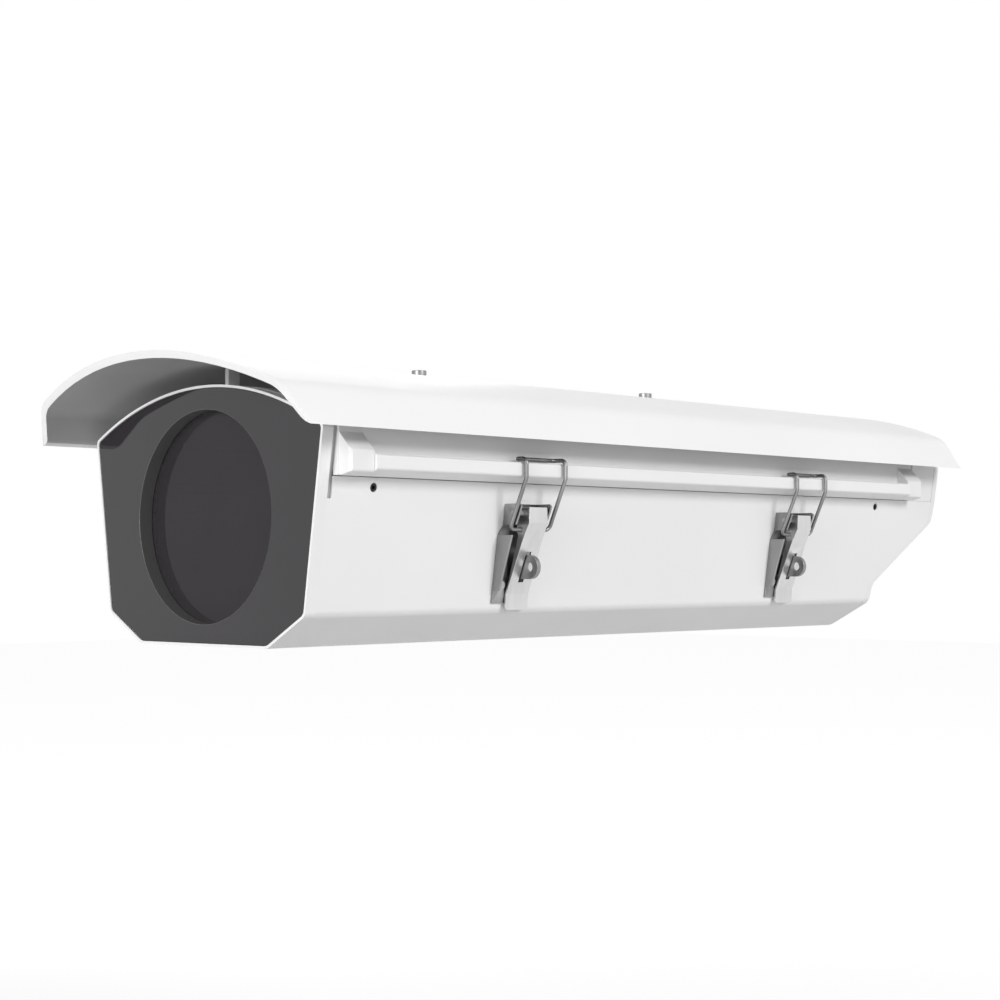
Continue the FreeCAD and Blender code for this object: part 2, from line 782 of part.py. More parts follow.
def make_rear_cap():
    band = cut("cap_band", side_profile("cap_outside", "0"), side_profile("cap_inside", "rear_cap_depth"))
    shell = common("cap_shell", section("cap_section", "0", TAIL + " + 1"), band)
    lugs = flank_lugs("cap_lugs", REAR_SCREW + " - lug_rear_margin", TAIL + " - rear_cap_depth / 2")
    holes = [gland_rod("cap_gland_hole_" + side, "gland_thread_radius + gland_thread_play", x,
                       "-gland_inner_reach - 3", "gland_inner_reach + 6") for side, x in GLANDS]
    threads = side_holes("cap_threads", REAR_SCREW, "side_screw_shank",
                         "body_wall + lug_play + lug_wall + 1")
    node("rear_cap", cut("cap", fuse("cap_whole", shell, lugs), threads, *holes))
    side_screws("rear_cap_screws", REAR_SCREW)
    for side, x in GLANDS:
        make_gland(side, x)
    plate = "rear_cap_depth * slope_rise / " + SLOPE_LENGTH
    seals = [gland_ring("gland_seal_" + side, "gland_bore_radius", "cable_radius", x,
                        "gland_hex_depth + gland_neck_depth - gland_seal_depth", "gland_seal_depth",
                        gland_rod) for side, x in GLANDS]
    node("gland_seals", group("gland_seal_set", *seals))
    nuts = [gland_ring("gland_nut_" + side, "gland_nut_radius", "gland_thread_radius", x,
                       "-(%s) - gland_nut_depth - gland_nut_play" % plate, "gland_nut_depth", gland_hex)
            for side, x in GLANDS]
    node("gland_locknuts", group("gland_nut_set", *nuts))


# The lid

def rail_bar(name, start, end):
    """The rail bead along the lid's lower edge, on the +X side."""
    corners = [(RAIL_ROOT, RAIL_LOW),
               (RAIL_SIDE + " - rail_drop", RAIL_LOW),
               (RAIL_SIDE, RAIL_LOW + " + rail_bevel", "rail_round"),
               (RAIL_SIDE, RAIL_TOP, "rail_round"),
               (RAIL_ROOT, RAIL_TOP)]
    return prism(name, "XZ", start, end, corners)


def seat_bar(name, start, end):
    """The inward flange that presses on the side seal, on the +X side."""
    return box(name, (SEAT_INNER, start, SEAT_LOW), (RAIL_ROOT, end, SEAT_LOW + " + seat_wall"))


def lid_shell(name, start, end, wall):
    outer = lid_section(name + "_outer", start, end)
    inner = lid_section(name + "_inner", minus(start, "1"), "(%s) + 1" % end, wall)
    below = block(name + "_below", minus(start, "1"), "(%s) + 1" % end, minus("seam_height", PAST), RAIL_LOW)
    return cut(name, outer, inner, below)


def both_sides(name, shape):
    return fuse(name, shape, mirrored(name + "_mirror", shape))


def make_lid_cover():
    shell = lid_shell("cover_shell", CAP_JOINT, LID_JOINT, "body_wall")
    rails = both_sides("cover_rails", rail_bar("cover_rail", CAP_JOINT, LID_JOINT))
    seats = both_sides("cover_seats", seat_bar("cover_seat", CAP_JOINT, LID_JOINT))
    notches = []
    for spot, y in HINGES:
        low = minus(y, "hinge_half + hinge_play")
        high = "(%s) + hinge_half + hinge_play" % y
        notches.append(box("cover_notch_" + spot, ("-(%s) - 1" % RAIL_SIDE, low, "seam_height - 1"),
                           ("-shoulder_half + hinge_notch_sink", high, RAIL_TOP + " + hinge_notch_sink")))
        notches.append(rod("cover_bore_" + spot, "hinge_pin_radius + hinge_pin_play",
                           ("-hinge_axis_half", minus(low, "hinge_pin_grip + hinge_pin_end_play"), HINGE_Z),
                           "2 * (hinge_half + hinge_play + hinge_pin_grip + hinge_pin_end_play)", "Y"))
    taps = [rod("cover_tap_" + spot, "shield_screw_shank + shield_tap_play",
                ("0", y, "arch_height - body_wall - 2"),
                "body_wall + 4", "Z") for spot, y in SHIELD_SCREWS]
    node("lid_cover", cut("cover", fuse("cover_whole", shell, rails, seats), *notches, *taps))


def cap_block(name, low_y, high_y, end, inwards):
    """The moulded end block that closes the rail, with its outer corner cut off at end."""
    inner = "shoulder_half - cap_wall / 2"
    reach = "shoulder_half + block_reach"
    profile = prism(name + "_profile", "XZ", low_y, high_y,
                    [(inner, RAIL_LOW), (RAIL_SIDE + " - rail_drop", RAIL_LOW),
                     (reach, RAIL_LOW + " + rail_bevel / 2", "rail_round"),
                     (reach, "block_shoulder", "rail_round"), (inner, "block_top")])
    corner = [(reach + " - block_corner", end), (reach + " + 1", end),
              (reach + " + 1", "(%s) + %d * (block_corner + 1)" % (end, inwards))]
    chip = prism(name + "_chip", "XY", "0", "arch_height", corner[::inwards])
    return cut(name, profile, chip)


def make_lid_caps():
    end = LID_FRONT + " + block_set_back"
    front = fuse("front_cap", lid_shell("front_cap_shell", LID_FRONT, CAP_JOINT, "cap_wall"),
                 both_sides("front_cap_blocks", cap_block("front_cap_block", end, CAP_JOINT, end, 1)))
    node("lid_front_cap", front)
    rear = fuse("rear_cap_ring", lid_shell("lid_rear_shell", LID_JOINT, LID_END, "cap_wall"),
                both_sides("lid_rear_blocks", cap_block("lid_rear_block", LID_JOINT, LID_END, LID_END, -1)))
    node("lid_rear_cap", rear)


def end_seal(name, start, end, low):
    outer = section(name + "_outer", start, end, "end_seal_inset")
    inner = section(name + "_inner", minus(start, "1"), "(%s) + 1" % end, "end_seal_inset + end_seal_width")
    return common(name, cut(name + "_ring", outer, inner),
                  block(name + "_band", minus(start, "1"), "(%s) + 1" % end, low, SKY))


def make_lid_seal():
    outer = wall_x("seam_height") + " - seal_inset"
    right = box("side_seal", (minus(outer, "seal_width"), BEZEL_BACK + " + bezel_play", "seam_height"),
                (outer, LID_END, SEAT_LOW + " - seal_play"))
    front = end_seal("front_seal", RIM_BACK, LID_FRONT + " - seal_play", "notch_height")
    rear = end_seal("rear_seal", LID_END + " + seal_play", RING_FRONT, "seam_height")
    node("lid_seal", group("seal_set", right, mirrored("side_seal_left", right), front, rear))


# Hinges on the -X side

def hinge_leaf(spot, y):
    name = "leaf_" + spot
    low = minus(y, "hinge_half")
    high = "(%s) + hinge_half" % y
    knuckle_side = "hinge_axis_half - knuckle_radius"
    knuckle_far = "hinge_axis_half + knuckle_radius"
    arm_top = "seam_height - leaf_arm_drop"
    bend = "leaf_top - leaf_bend_drop"
    leaf = [(wall_x("leaf_bottom"), "leaf_bottom"), (wall_x("leaf_bottom") + " + leaf_wall", "leaf_bottom"),
            (wall_x(bend) + " + leaf_wall", bend), (knuckle_far, arm_top),
            (knuckle_far, HINGE_Z), (knuckle_side, HINGE_Z), (knuckle_side, arm_top),
            (wall_x(arm_top), arm_top)]
    arm = mirrored(name + "_arm", prism(name + "_profile", "XZ", low, high, leaf))
    knuckle = rod(name + "_knuckle", "knuckle_radius", ("-hinge_axis_half", low, HINGE_Z),
                  "2 * hinge_half", "Y")
    bore = rod(name + "_bore", "hinge_pin_radius + hinge_pin_play",
               ("-hinge_axis_half", minus(low, "1"), HINGE_Z), "2 * hinge_half + 2", "Y")
    pin = rod("pin_" + spot, "hinge_pin_radius",
              ("-hinge_axis_half", minus(low, "hinge_play + hinge_pin_grip"), HINGE_Z),
              "2 * (hinge_half + hinge_play + hinge_pin_grip)", "Y")
    holes = []
    screws = []
    for i in (-1, 1):
        screw_y = "(%s) + %d * leaf_screw_spread" % (y, i)
        hole = flank_rod("%s_hole_%d" % (name, i + 1), "leaf_screw_shank", screw_y, "leaf_screw_height",
                         "-1", "leaf_wall + 3")
        holes.append(mirrored("%s_hole_left_%d" % (name, i + 1), hole))
        head = flank_rod("%s_screw_head_%d" % (name, i + 1), "leaf_screw_radius", screw_y,
                         "leaf_screw_height", LEAF_SEAT, "leaf_screw_head")
        shank = flank_rod("%s_screw_shank_%d" % (name, i + 1), "leaf_screw_shank", screw_y,
                          "leaf_screw_height", "-leaf_screw_reach", "leaf_screw_reach + " + LEAF_SEAT)
        screw = fuse("%s_screw_%d" % (name, i + 1), head, shank)
        screws.append(mirrored("%s_screw_left_%d" % (name, i + 1), screw))
    node("hinge_leaf_" + spot, cut(name, fuse(name + "_blank", arm, knuckle), bore, *holes))
    return pin, screws


def make_hinges():
    pins = []
    screws = []
    for spot, y in HINGES:
        pin, pair = hinge_leaf(spot, y)
        pins.append(pin)
        screws += pair
    node("hinge_pins", group("hinge_pin_set", *pins))
    node("hinge_screws", group("hinge_screw_set", *screws))


# Sunshield

def shield_region(name, start, end, inset="0"):
    corners = [("shield_skirt_half", "shield_skirt_height"), ("shield_bend_half", "shield_bend_height")]
    return arched(name, start, end, corners, "shield_arch_height", inset)


def shield_plate():
    far = minus(SHIELD_FRONT, PAST)
    outer = shield_region("shield_outer", far, SHIELD_REAR, "-shield_wall")
    inner = shield_region("shield_inner", far + " - 1", SHIELD_REAR + " + 1")
    below = block("shield_below", far + " - 1", SHIELD_REAR + " + 1", "0", "shield_skirt_height")
    low_z = minus("shield_skirt_height", PAST)
    low_y = "%s + shield_rake * %s" % (SHIELD_FRONT, PAST)
    high_y = "%s - shield_rake * (%s - shield_skirt_height)" % (SHIELD_FRONT, SKY)
    rake = prism("shield_rake_cut", "YZ", "-(%s)" % WIDE, WIDE,
                 [(far + " - 1", low_z), (low_y, low_z), (high_y, SKY), (far + " - 1", SKY)])
    holes = [rod("shield_hole_" + spot, "shield_screw_shank + shield_screw_play",
                 ("0", y, "arch_height"), minus(SKY, "arch_height"), "Z") for spot, y in SHIELD_SCREWS]
    node("sunshield", cut("shield", outer, inner, below, rake, *holes))


def shield_screw(spot, y):
    head = rod("shield_head_" + spot, "shield_screw_head", ("0", y, SHIELD_TOP),
               "shield_screw_head_height", "Z")
    low = "arch_height - body_wall - shield_screw_tail"
    shank = rod("shield_shank_" + spot, "shield_screw_shank", ("0", y, low),
                minus(SHIELD_TOP + " + shield_screw_head_height / 4", low), "Z")
    socket = hexagon("shield_socket_" + spot, "shield_screw_head * socket_share")
    bind(socket, "Height", "shield_socket_depth + 1")
    place(socket, "0", y, SHIELD_TOP + " + shield_screw_head_height - shield_socket_depth")
    return cut("shield_screw_" + spot, fuse("shield_screw_blank_" + spot, head, shank), socket)


def shield_standoff(spot, y):
    tube = rod("standoff_tube_" + spot, "standoff_radius", ("0", y, "arch_height + standoff_play"),
               "shield_arch_height - arch_height - standoff_play - standoff_top_play", "Z")
    bore = rod("standoff_bore_" + spot, "shield_screw_shank + shield_screw_play",
               ("0", y, "arch_height - 1"), "shield_arch_height - arch_height + 2", "Z")
    return cut("standoff_" + spot, tube, bore)


def make_shield():
    shield_plate()
    node("shield_screws", group("shield_screw_set", *[shield_screw(*spot) for spot in SHIELD_SCREWS]))
    node("shield_standoffs", group("standoff_set", *[shield_standoff(*spot) for spot in SHIELD_SCREWS]))
    post_y = LID_FRONT + " + post_set_back"
    post = box("post", ("-post_half", post_y, "arch_height + standoff_play"),
               ("post_half", post_y + " + post_depth", "shield_arch_height - standoff_top_play"))
    node("shield_post", post)


# Bracket plate, tray and camera saddle

def make_bracket_plate():
    plate = box("bracket", ("-bracket_plate_half_x", "-bracket_plate_half_y", "body_wall"),
                ("bracket_plate_half_x", "bracket_plate_half_y", "body_wall + bracket_plate_wall"))
    holes = [rod("bracket_hole_%d%d" % (i, j), "bracket_hole_radius",
                 ("%d * bracket_half_x" % i, "%d * bracket_half_y" % j, "0"),
                 "body_wall + bracket_plate_wall + 2", "Z") for i in (-1, 1) for j in (-1, 1)]
    node("bracket_plate", cut("bracket_body", plate, *holes))


def make_tray():
    top = "tray_height + tray_wall"
    floor = box("tray_floor", ("-tray_half_x", "-tray_half_y", "tray_height"),
                ("tray_half_x", "tray_half_y", top))
    lip = box("tray_lip_right", ("tray_half_x - tray_wall", "-tray_half_y", "tray_height"),
              ("tray_half_x", "tray_half_y", "tray_height + tray_lip"))
    slot = box("tray_slot", ("-tray_slot_half_x", "-tray_slot_half_y", "tray_height - 1"),
               ("tray_slot_half_x", "tray_slot_half_y", top + " + 1"))
    spots = [("%d * tray_post_half_x" % i, "%d * tray_post_half_y" % j) for i in (-1, 1) for j in (-1, 1)]
    holes = [rod("tray_hole_%d" % i, "tray_screw_shank + tray_screw_play", (x, y, "tray_height - 1"),
                 "tray_wall + 2", "Z") for i, (x, y) in enumerate(spots)]
    node("camera_tray", cut("tray", fuse("tray_whole", floor, both_sides("tray_lips", lip)), slot, *holes))
    posts = []
    screws = []
    low = "tray_height - tray_screw_reach"
    for i, (x, y) in enumerate(spots):
        post = rod("tray_post_%d" % i, "tray_post_radius", (x, y, "body_wall"),
                   "tray_height - body_wall", "Z")
        bore = rod("tray_post_bore_%d" % i, "tray_screw_shank", (x, y, low), "tray_screw_reach + 1", "Z")
        posts.append(cut("tray_standoff_%d" % i, post, bore))
        head = rod("tray_screw_head_%d" % i, "tray_screw_radius", (x, y, top), "tray_screw_head", "Z")
        shank = rod("tray_screw_shank_%d" % i, "tray_screw_shank", (x, y, low),
                    "tray_screw_reach + tray_wall + tray_screw_head / 2", "Z")
        screws.append(fuse("tray_screw_%d" % i, head, shank))
    node("tray_standoffs", group("tray_standoff_set", *posts))
    node("tray_screws", group("tray_screw_set", *screws))


def make_saddle():
    low = "tray_height + tray_wall + saddle_play"
    plate = box("saddle_plate", ("-saddle_half_x", "-saddle_half_y", low),
                ("saddle_half_x", "saddle_half_y", low + " + saddle_wall"))
    hole = rod("saddle_hole", "camera_stud_radius + camera_stud_play", ("0", "0", minus(low, "1")),
               "saddle_wall + 2", "Z")
    node("camera_saddle", cut("saddle", plate, hole))
    knob_low = "tray_height - saddle_play - thumb_depth"
    knob = rod("thumb_knob", "thumb_radius", ("0", "0", knob_low), "thumb_depth", "Z")
    stud = rod("thumb_stud", "camera_stud_radius", ("0", "0", knob_low),
               minus(low + " + saddle_wall + camera_stud_rise", knob_low), "Z")
    node("saddle_screw", fuse("thumb_screw", knob, stud))


# Toggle latches on the +X side

def sheet_ear(name, y, outer, corners):
    """A flange across Y whose outer face is at outer from the latch's middle, on its side of it."""
    inner = outer[1:] if outer.startswith("-") else outer
    inner = "-(%s - latch_sheet)" % inner if outer.startswith("-") else "%s - latch_sheet" % inner
    ends = sorted((inner, outer), key=value)
    low, high = ["(%s) + (%s)" % (y, end) for end in ends]
    return prism(name, "XZ", low, high, corners)


def latch_plate(name, y):
    """The sheet against the flank, wider at its foot on the near side."""
    slab = prism(name + "_slab", "XZ", minus(y, "latch_foot_half"), "(%s) + latch_foot_half" % y,
                 [(wall_x("latch_bottom"), "latch_bottom"),
                  (wall_x("latch_bottom") + " + latch_sheet", "latch_bottom"),
                  (wall_x("latch_top") + " + latch_sheet", "latch_top"),
                  (wall_x("latch_top"), "latch_top")])
    near = [("latch_near_half", "latch_top"), ("latch_near_half", "ear_bottom"),
            ("latch_foot_half", "latch_step"), ("latch_foot_half", "latch_bottom")]
    corners = [(minus(y, half), z) for half, z in near]
    corners += [("(%s) + latch_far_half" % y, "latch_bottom"), ("(%s) + latch_far_half" % y, "latch_top")]
    return common(name + "_plate", slab, prism(name + "_plan", "YZ", "0", WIDE, corners))


def latch_eye(name, y):
    """The padlock eye that stands on the plate, before its hole."""
    low = "(%s) - eye_half" % y
    ring = rod(name + "_eye", "eye_radius", ("eye_x", low, "eye_height"), "2 * eye_half", "Y")
    root = box(name + "_eye_root", (wall_x("eye_height"), low, "eye_height - eye_radius"),
               ("eye_x", "(%s) + eye_half" % y, "eye_height + eye_radius"))
    return [ring, root]


def make_latch_base(spot, y):
    name = "latch_" + spot
    ear_x = wall_x("latch_top") + " + ear_reach"
    ear = [(wall_x("ear_bottom"), "ear_bottom"), ("ear_toe_x", "ear_bottom"),
           ("ear_side_x", "ear_side_height"), (ear_x, "latch_top - ear_corner"),
           (ear_x + " - ear_corner", "latch_top"), (wall_x("latch_top"), "latch_top")]
    foot = [(wall_x("flange_end"), "flange_end"),
            (wall_x("flange_end") + " + flange_reach_end", "flange_end", "flange_round"),
            (wall_x("flange_middle") + " + flange_reach_middle", "flange_middle"),
            (wall_x("latch_step") + " + flange_reach_top", "latch_step"),
            (wall_x("latch_step"), "latch_step")]
    parts = [latch_plate(name, y), sheet_ear(name + "_near_ear", y, "-latch_near_half", ear),
             sheet_ear(name + "_far_ear", y, "latch_far_half", ear),
             sheet_ear(name + "_foot", y, "-latch_foot_half", foot)] + latch_eye(name, y)
    low_y = minus(y, "latch_near_half")
    span = "latch_near_half + latch_far_half"
    tools = [section(name + "_body", minus(y, PAST), "(%s) + %s" % (y, PAST)),
             rod(name + "_pin_hole", "lever_pin_radius + lever_pin_play",
                 ("lever_pivot_x", minus(low_y, "1"), "lever_pivot_height"), span + " + 2", "Y"),
             rod(name + "_eye_hole", "eye_hole_radius", ("eye_x", minus(y, "2 * eye_half"), "eye_height"),
                 "4 * eye_half", "Y")]
    tools += [flank_rod("%s_rivet_hole_%d" % (name, i), "rivet_shank", rivet_y(y), z, "-1",
                        "latch_sheet + 2") for i, z in enumerate(RIVETS)]
    node("latch_base_" + spot, cut(name + "_base", fuse(name + "_whole", *parts), *tools))
    node("latch_pin_" + spot, rod(name + "_pin", "lever_pin_radius",
                                  ("lever_pivot_x", low_y, "lever_pivot_height"), span, "Y"))


def latch_rivets(spot, y):
    """Rivets through the base plate and the flank, above and below the padlock eye."""
    made = []
    for i, z in enumerate(RIVETS):
        name = "latch_%s_rivet_%d" % (spot, i)
        head = flank_rod(name + "_head", "rivet_radius", rivet_y(y), z, RIVET_SEAT, "rivet_head")
        shank = flank_rod(name + "_shank", "rivet_shank", rivet_y(y), z, "-body_wall - rivet_tail",
                          "body_wall + rivet_tail + " + RIVET_SEAT)
        made.append(fuse(name, head, shank))
    return made


def lever_face(name, y):
    """The lever's bent front sheet, narrow at its top and rounded at its tip."""
    outside = [("lever_face_x", "lever_top"), ("lever_face_x", "lever_bend"),
               ("lever_knee_x", "lever_knee"), ("lever_heel_x", "lever_heel"), ("lever_tip_x", "lever_tip")]
    inside = [(x + " - latch_sheet", z) for x, z in outside[::-1]]
    web = prism(name + "_web", "XZ", minus(y, "lever_bottom_half"), "(%s) + lever_bottom_half" % y,
                (outside + inside)[::-1])
    edge = [("lever_bottom_half", "lever_tip", "lever_corner"),
            ("lever_bottom_half", "lever_heel + lever_widening"), ("lever_top_half", "lever_top")]
    corners = [("(%s) + %s" % (y, c[0]),) + c[1:] for c in edge]
    corners += [(minus(y, c[0]),) + c[1:] for c in edge[::-1]]
    return common(name + "_face", web, prism(name + "_plan", "YZ", "0", WIDE, corners))


def make_lever(spot, y):
    name = "lever_" + spot
    cheek = [("lever_face_x - lever_fold", "lever_top"), ("lever_cheek_top_x", "lever_top"),
             ("lever_cheek_x", "lever_pivot_height"), ("lever_hook_x", "lever_hook_height"),
             ("lever_throat_x", "lever_throat_height"), ("lever_foot_x", "lever_foot_height"),
             ("lever_foot_x + 2 * latch_sheet", "lever_foot_height"),
             ("lever_knee_x - lever_fold", "lever_knee"), ("lever_face_x - lever_fold", "lever_bend")]
    slot_half = "eye_half + eye_slot_play"
    slot_rise = "eye_radius + eye_slot_end"
    slot = box(name + "_slot", ("0", minus(y, slot_half), minus("eye_height", slot_rise)),
               (WIDE, "(%s) + %s" % (y, slot_half), "eye_height + " + slot_rise))
    low_y = minus(y, "lever_top_half + 1")
    span = "2 * lever_top_half + 2"
    holes = [rod(name + "_pin_hole", "lever_pin_radius + lever_pin_play",
                 ("lever_pivot_x", low_y, "lever_pivot_height"), span, "Y"),
             rod(name + "_bail_hole", "bail_wire_radius + lever_pin_play",
                 ("bail_pivot_x", low_y, "bail_pivot_height"), span, "Y")]
    whole = fuse(name + "_whole", lever_face(name, y), sheet_ear(name + "_near", y, "-lever_top_half", cheek),
                 sheet_ear(name + "_far", y, "lever_top_half", cheek))
    node("latch_lever_" + spot, cut(name, whole, slot, *holes))


def bent_wire(points, bend):
    """A wire's path: straight runs joined by tangent arcs."""
    edges = []
    last = points[0]
    for before, at, after in zip(points, points[1:], points[2:]):
        start, middle, end = corner_cut(before, at, after, bend)
        edges.append(Part.LineSegment(last, start).toShape())
        edges.append(Part.Arc(start, middle, end).toShape())
        last = end
    edges.append(Part.LineSegment(last, points[-1]).toShape())
    return Part.Wire(edges)


def make_bail(spot, y):
    """The wire loop that hooks over the rail: its bends lie in three planes."""
    middle = value(y)
    pivot = (value("bail_pivot_x"), value("bail_pivot_height"))
    knee = (value("bail_knee_x"), value("bail_knee_height"))
    bar_z = value(RAIL_TOP + " + bail_wire_radius + bail_rail_gap")
    bar_x = value("bail_bar_x")
    half = value("bail_leg_half")
    stub = value("lever_top_half - latch_sheet - bail_stub_gap")
    side = [(pivot[0], stub, pivot[1]), (pivot[0], half, pivot[1]), (knee[0], half, knee[1]),
            (knee[0], half, bar_z), (bar_x, half, bar_z)]
    points = [Vector(x, middle - w, z) for x, w, z in side]
    points += [Vector(x, middle + w, z) for x, w, z in side[::-1]]
    path = bent_wire(points, value("bail_bend_radius"))
    ring = Part.Wire([Part.Circle(points[0], Vector(0, 1, 0), value("bail_wire_radius")).toShape()])
    made = doc.addObject("Part::Feature", "bail_" + spot)
    made.Shape = path.makePipeShell([ring], True, True)
    made.Placement = Placement()
    node("latch_bail_" + spot, made)


def make_latches():
    rivets = []
    for spot, y in LATCHES:
        make_latch_base(spot, y)
        rivets += latch_rivets(spot, y)
        make_lever(spot, y)
        make_bail(spot, y)
    node("latch_rivets", group("latch_rivet_set", *rivets))


# Checks and files

def check_document():
    for item in doc.Objects:
        bad = {"Invalid", "Error"} & set(item.State)
        if bad:
            raise RuntimeError("%s is %s" % (item.Name, item.State))
        if item.TypeId == "Part::Cut" and item.Shape.Volume > item.Base.Shape.Volume - 1e-6:
            raise RuntimeError("%s cuts nothing" % item.Name)
    for item in nodes:
        if item.Shape.isNull() or not item.Shape.isValid() or not item.Shape.Solids:
            raise RuntimeError("%s has no valid solid" % item.Label)


def write_parts():
    os.makedirs("parts", exist_ok=True)
    for item in nodes:
        item.Shape.exportStep("parts/%s.step" % item.Label)
        size = item.Shape.BoundBox
        print("%-20s %2d solids %10.1f mm3  x %7.1f %7.1f  y %7.1f %7.1f  z %6.1f %6.1f" % (
            item.Label, len(item.Shape.Solids), item.Shape.Volume, size.XMin, size.XMax,
            size.YMin, size.YMax, size.ZMin, size.ZMax))


fill_sheet()
make_tub()
make_hood()
make_bezel()
make_window()
make_rear_cap()
make_lid_cover()
make_lid_caps()
make_lid_seal()
make_hinges()
make_shield()
make_bracket_plate()
make_tray()
make_saddle()
make_latches()
doc.recompute()
check_document()
write_parts()
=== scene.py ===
import json
import math
import bmesh
import bpy
from mathutils import Matrix, Vector


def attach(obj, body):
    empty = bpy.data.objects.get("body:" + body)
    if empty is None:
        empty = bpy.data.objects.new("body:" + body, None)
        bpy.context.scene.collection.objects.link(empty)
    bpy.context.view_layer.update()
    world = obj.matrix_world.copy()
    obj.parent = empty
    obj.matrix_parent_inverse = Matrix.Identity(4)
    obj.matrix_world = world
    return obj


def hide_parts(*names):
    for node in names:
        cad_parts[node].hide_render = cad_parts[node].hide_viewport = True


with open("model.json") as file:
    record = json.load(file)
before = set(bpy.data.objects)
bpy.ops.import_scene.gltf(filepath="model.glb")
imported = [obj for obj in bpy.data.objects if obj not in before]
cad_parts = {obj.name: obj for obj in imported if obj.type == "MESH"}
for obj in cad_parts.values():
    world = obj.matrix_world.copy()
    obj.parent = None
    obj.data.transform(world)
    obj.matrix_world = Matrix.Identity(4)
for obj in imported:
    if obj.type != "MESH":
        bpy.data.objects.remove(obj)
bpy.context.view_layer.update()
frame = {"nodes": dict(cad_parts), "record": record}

# Camera, at the photograph's place and angle

CAMERA_POINT = Vector((0.63464, -0.68098, 0.03332))
CAMERA_YAW = math.radians(43.834)
CAMERA_PITCH = math.radians(2.002)
CAMERA_ROLL = math.radians(-0.113)
CAMERA_LENS = 67.68
SENSOR_WIDTH = 36.0
NEAR_CLIP = 0.01


def make_camera():
    data = bpy.data.cameras.new("camera")
    data.lens = CAMERA_LENS
    data.sensor_width = SENSOR_WIDTH
    data.clip_start = NEAR_CLIP
    camera = bpy.data.objects.new("camera", data)
    bpy.context.collection.objects.link(camera)
    level = Vector((-math.sin(CAMERA_YAW), math.cos(CAMERA_YAW), 0))
    look = level * math.cos(CAMERA_PITCH) + Vector((0, 0, math.sin(CAMERA_PITCH)))
    side = look.cross(Vector((0, 0, 1))).normalized()
    top = side.cross(look)
    right = side * math.cos(CAMERA_ROLL) + top * math.sin(CAMERA_ROLL)
    up = top * math.cos(CAMERA_ROLL) - side * math.sin(CAMERA_ROLL)
    turn = Matrix((right, up, -look)).transposed()
    camera.matrix_world = Matrix.Translation(CAMERA_POINT) @ turn.to_4x4()
    bpy.context.scene.camera = camera


# Light, floor and background

WHITE = (1.0, 1.0, 1.0, 1.0)
FLOOR_HEIGHT = -0.32
FLOOR_SIZE = 14.0
FLOOR_NOISE_SCALE = 2.0
SKY_LIGHT = 0.4
FLOOR_TONES = ((0.54, 0.54, 0.54, 1.0), (0.57, 0.57, 0.57, 1.0))
# The floor's glow for the background, near the object and far from it, and where it changes
GLOW_NEAR = 0.5
GLOW_FAR = 0.75
GLOW_REACH = (0.3, 1.6)


def background_rays(tree):
    """1 for camera, mirror and glass rays, which see the white background, and 0 for the rest."""
    path = tree.nodes.new("ShaderNodeLightPath")
    share = path.outputs["Is Camera Ray"]
    for kind in ("Is Glossy Ray", "Is Transmission Ray"):
        larger = tree.nodes.new("ShaderNodeMath")
        larger.operation = "MAXIMUM"
        tree.links.new(share, larger.inputs[0])
        tree.links.new(path.outputs[kind], larger.inputs[1])
        share = larger.outputs[0]
    return share


def make_world():
    world = bpy.data.worlds.new("studio")
    bpy.context.scene.world = world
    world.use_nodes = True
    tree = world.node_tree
    tree.nodes.clear()
    mix = tree.nodes.new("ShaderNodeMixShader")
    tree.links.new(background_rays(tree), mix.inputs["Fac"])
    for socket, strength in ((1, SKY_LIGHT), (2, 1.0)):
        sky = tree.nodes.new("ShaderNodeBackground")
        sky.inputs["Color"].default_value = WHITE
        sky.inputs["Strength"].default_value = strength
        tree.links.new(sky.outputs[0], mix.inputs[socket])
    out = tree.nodes.new("ShaderNodeOutputWorld")
    tree.links.new(mix.outputs[0], out.inputs["Surface"])


def make_floor():
    material = bpy.data.materials.new("floor_pale")
    material.use_nodes = True
    tree = material.node_tree
    tree.nodes.clear()
    noise = tree.nodes.new("ShaderNodeTexNoise")
    noise.inputs["Scale"].default_value = FLOOR_NOISE_SCALE
    tone = tree.nodes.new("ShaderNodeMix")
    tone.data_type = "RGBA"
    tone.inputs["A"].default_value, tone.inputs["B"].default_value = FLOOR_TONES
    tree.links.new(noise.outputs["Fac"], tone.inputs["Factor"])
    diffuse = tree.nodes.new("ShaderNodeBsdfDiffuse")
    tree.links.new(tone.outputs["Result"], diffuse.inputs["Color"])
    glow = tree.nodes.new("ShaderNodeEmission")
    glow.inputs["Color"].default_value = WHITE
    distance = tree.nodes.new("ShaderNodeVectorMath")
    distance.operation = "LENGTH"
    tree.links.new(tree.nodes.new("ShaderNodeTexCoord").outputs["Object"], distance.inputs[0])
    fade = tree.nodes.new("ShaderNodeMapRange")
    fade.inputs["From Min"].default_value, fade.inputs["From Max"].default_value = GLOW_REACH
    fade.inputs["To Min"].default_value, fade.inputs["To Max"].default_value = GLOW_NEAR, GLOW_FAR
    tree.links.new(distance.outputs["Value"], fade.inputs["Value"])
    share = tree.nodes.new("ShaderNodeMath")
    share.operation = "MULTIPLY"
    tree.links.new(background_rays(tree), share.inputs[0])
    tree.links.new(fade.outputs["Result"], share.inputs[1])
    tree.links.new(share.outputs[0], glow.inputs["Strength"])
    both = tree.nodes.new("ShaderNodeAddShader")
    tree.links.new(diffuse.outputs[0], both.inputs[0])
    tree.links.new(glow.outputs[0], both.inputs[1])
    out = tree.nodes.new("ShaderNodeOutputMaterial")
    tree.links.new(both.outputs[0], out.inputs["Surface"])
    bpy.ops.mesh.primitive_plane_add(size=FLOOR_SIZE, location=(0, 0, FLOOR_HEIGHT))
    floor = bpy.context.object
    floor.name = "floor"
    floor.data.materials.append(material)


